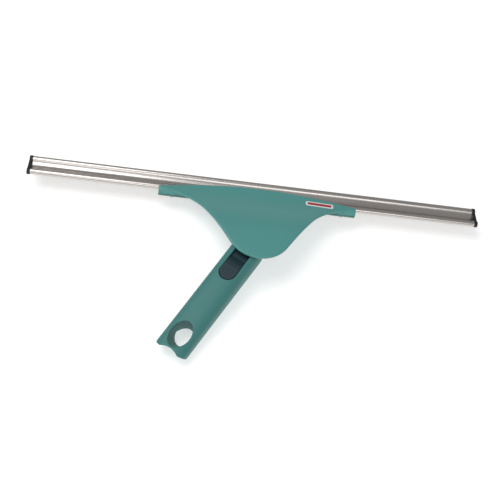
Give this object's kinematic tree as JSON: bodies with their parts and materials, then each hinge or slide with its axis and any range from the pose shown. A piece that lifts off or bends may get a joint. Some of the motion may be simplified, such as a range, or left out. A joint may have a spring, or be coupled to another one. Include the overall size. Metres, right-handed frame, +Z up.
{
  "type": "window cleaning squeegee",
  "caption": "Window squeegee: a 400 mm metal rail with a black rubber lip on a teal fan-shaped head, and a short swivelling click-on handle with a dark release button.",
  "frame": {"origin": "floor, centre of the object's footprint", "axes": "+X along the rail, +Y from the handle towards the rail, +Z up from the floor along the swivel axis"},
  "size_m": [0.4, 0.187, 0.0371],
  "materials": {
    "rail_metal": "satin",
    "lip_rubber": "matte",
    "cap_plastic": "matte",
    "fan_plastic": "satin",
    "handle_plastic": "satin",
    "petrol_plastic": "satin",
    "badge_white": "gloss",
    "badge_red": "gloss",
    "screw_steel": "zinc plated",
    "insert_brass": "satin",
    "washer_nylon": "matte",
    "spring_steel": "bright"
  },
  "bodies": {
    "head": {"blade_channel": "rail_metal", "rubber_blade": "lip_rubber", "left_end_cap": "cap_plastic", "right_end_cap": "cap_plastic", "front_cover": "fan_plastic", "rear_cover": "fan_plastic", "cover_screws": "screw_steel", "badge_plate": "badge_white", "badge_stripe": "badge_red", "swivel_screw": "screw_steel", "threaded_insert": "insert_brass", "front_friction_washer": "washer_nylon", "rear_friction_washer": "washer_nylon", "wave_washer": "spring_steel"},
    "handle": {"swivel_knuckle": "petrol_plastic", "handle_sleeve": "handle_plastic", "button_pivot_pin": "screw_steel", "button_spring": "spring_steel"},
    "button": {"release_button": "petrol_plastic"}
  },
  "joints": [
    {"name": "head_swivel", "type": "hinge", "parent": "head", "child": "handle", "pos_m": [0, 0.02152, 0.02619], "axis": [0, 0, 1], "range_deg": [-24.2, 85.8]},
    {"name": "button_rocker", "type": "hinge", "parent": "handle", "child": "button", "pos_m": [-0.01931, -0.01088, 0.02824], "axis": [0.859, -0.512, 0], "range_deg": [0, 10], "stiffness_Nm_per_rad": 0.08, "springref_deg": -11.46, "deforming": ["button_spring"]}
  ]
}
